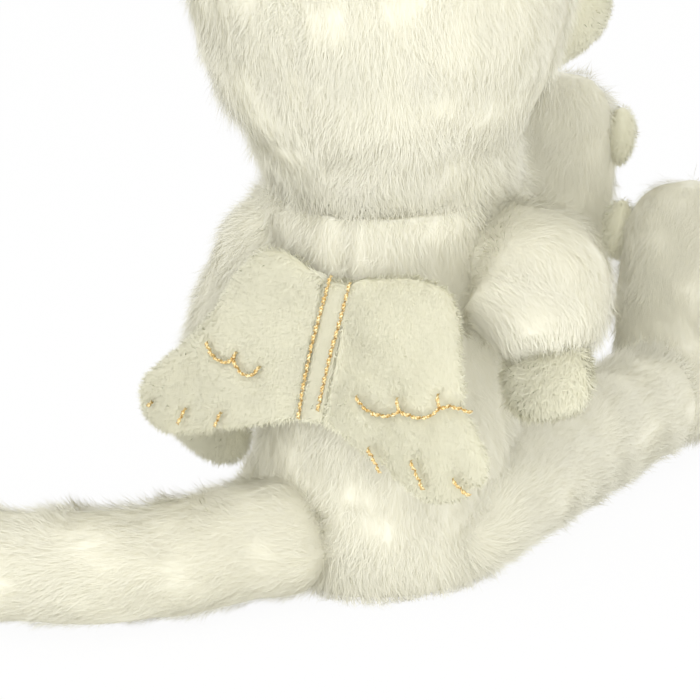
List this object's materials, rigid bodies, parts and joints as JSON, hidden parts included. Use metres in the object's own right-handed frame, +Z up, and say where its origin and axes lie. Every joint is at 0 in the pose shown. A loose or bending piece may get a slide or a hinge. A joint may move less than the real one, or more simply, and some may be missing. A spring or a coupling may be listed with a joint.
{
  "type": "stuffed monkey",
  "caption": "Sitting stuffed monkey in cream fur with velour wings on its back, a weighted seat, a long tail, and a head, limbs and wings that bend at their seams.",
  "frame": {"origin": "middle of the flat seat, on the floor", "axes": "+Z up, the monkey faces -Y, its left is +X"},
  "size_m": [0.2494, 0.2585, 0.2145],
  "materials": {
    "cream_fur": "long woolly pile",
    "cream_velour": "short velour pile",
    "white_stuffing": "loose polyester fibre",
    "pellet_cloth": "plain woven cotton",
    "black_plastic": "polished",
    "white_plastic": "as moulded",
    "tan_thread": "satin stitch"
  },
  "bodies": {
    "torso": {"torso_skin": "cream_fur", "torso_filling": "white_stuffing", "pellet_bag": "pellet_cloth", "wing_band": "cream_velour"},
    "head": {"head_skin": "cream_fur", "head_filling": "white_stuffing", "muzzle": "cream_velour", "face_patch": "cream_velour", "nose": "tan_thread", "ear_left": "cream_fur", "ear_right": "cream_fur", "ear_lining_left": "cream_velour", "ear_lining_right": "cream_velour", "eye_left": "black_plastic", "eye_right": "black_plastic", "eye_washer_left": "white_plastic", "eye_washer_right": "white_plastic"},
    "tail": {"tail_skin": "cream_fur", "tail_filling": "white_stuffing"},
    "arm_left": {"arm_skin_left": "cream_fur", "arm_filling_left": "white_stuffing"},
    "hand_left": {"hand_left": "cream_velour"},
    "leg_left": {"leg_skin_left": "cream_fur", "leg_filling_left": "white_stuffing"},
    "foot_left": {"foot_left": "cream_fur", "sole_left": "cream_velour", "big_toe_left": "cream_velour"},
    "wing_left": {"wing_left": "cream_velour"},
    "arm_right": {"arm_skin_right": "cream_fur", "arm_filling_right": "white_stuffing"},
    "hand_right": {"hand_right": "cream_velour"},
    "leg_right": {"leg_skin_right": "cream_fur", "leg_filling_right": "white_stuffing"},
    "foot_right": {"foot_right": "cream_fur", "sole_right": "cream_velour", "big_toe_right": "cream_velour"},
    "wing_right": {"wing_right": "cream_velour"}
  },
  "joints": [
    {"name": "neck", "type": "hinge", "parent": "torso", "child": "head", "pos_m": [0, -0.004, 0.1074], "axis": [0, 0, 1], "range_deg": [-40, 40], "stiffness_Nm_per_rad": 0.04},
    {"name": "shoulder_left", "type": "hinge", "parent": "torso", "child": "arm_left", "pos_m": [0.033, 0.002, 0.107], "axis": [0, -1, 0], "range_deg": [0, 45], "stiffness_Nm_per_rad": 0.015},
    {"name": "shoulder_right", "type": "hinge", "parent": "torso", "child": "arm_right", "pos_m": [-0.033, 0.002, 0.107], "axis": [0, 1, 0], "range_deg": [0, 45], "stiffness_Nm_per_rad": 0.015},
    {"name": "wrist_left", "type": "hinge", "parent": "arm_left", "child": "hand_left", "pos_m": [0.05729, -0.00942, 0.03009], "axis": [-0.9326, 0, -0.3609], "range_deg": [-30, 30], "stiffness_Nm_per_rad": 0.004},
    {"name": "wrist_right", "type": "hinge", "parent": "arm_right", "child": "hand_right", "pos_m": [-0.05157, 0.01391, 0.06869], "axis": [-0.9318, 0, 0.3629], "range_deg": [-30, 30], "stiffness_Nm_per_rad": 0.004},
    {"name": "hip_left", "type": "hinge", "parent": "torso", "child": "leg_left", "pos_m": [0.027, 0.0175, 0.0186], "axis": [0, 0, 1], "range_deg": [0, 8], "stiffness_Nm_per_rad": 0.05},
    {"name": "hip_right", "type": "hinge", "parent": "torso", "child": "leg_right", "pos_m": [-0.027, 0.0175, 0.0186], "axis": [0, 0, -1], "range_deg": [0, 35], "stiffness_Nm_per_rad": 0.05},
    {"name": "ankle_left", "type": "hinge", "parent": "leg_left", "child": "foot_left", "pos_m": [0.00665, -0.13617, 0.04058], "axis": [1, 0, 0], "range_deg": [-5, 30], "stiffness_Nm_per_rad": 0.03},
    {"name": "ankle_right", "type": "hinge", "parent": "leg_right", "child": "foot_right", "pos_m": [-0.04224, -0.10924, 0.0186], "axis": [1, 0, 0], "range_deg": [-15, 25], "stiffness_Nm_per_rad": 0.03},
    {"name": "tail_root", "type": "hinge", "parent": "torso", "child": "tail", "pos_m": [0.014, 0.0365, 0.0178], "axis": [0, 0, 1], "range_deg": [-12, 25], "stiffness_Nm_per_rad": 0.05},
    {"name": "wing_root_left", "type": "hinge", "parent": "torso", "child": "wing_left", "pos_m": [0.0034, 0.0372, 0.073], "axis": [-0.1375, -0.1555, 0.9782], "range_deg": [0, 35], "stiffness_Nm_per_rad": 0.006},
    {"name": "wing_root_right", "type": "hinge", "parent": "torso", "child": "wing_right", "pos_m": [-0.0034, 0.0372, 0.073], "axis": [0.1375, 0.1555, -0.9782], "range_deg": [0, 35], "stiffness_Nm_per_rad": 0.006}
  ]
}
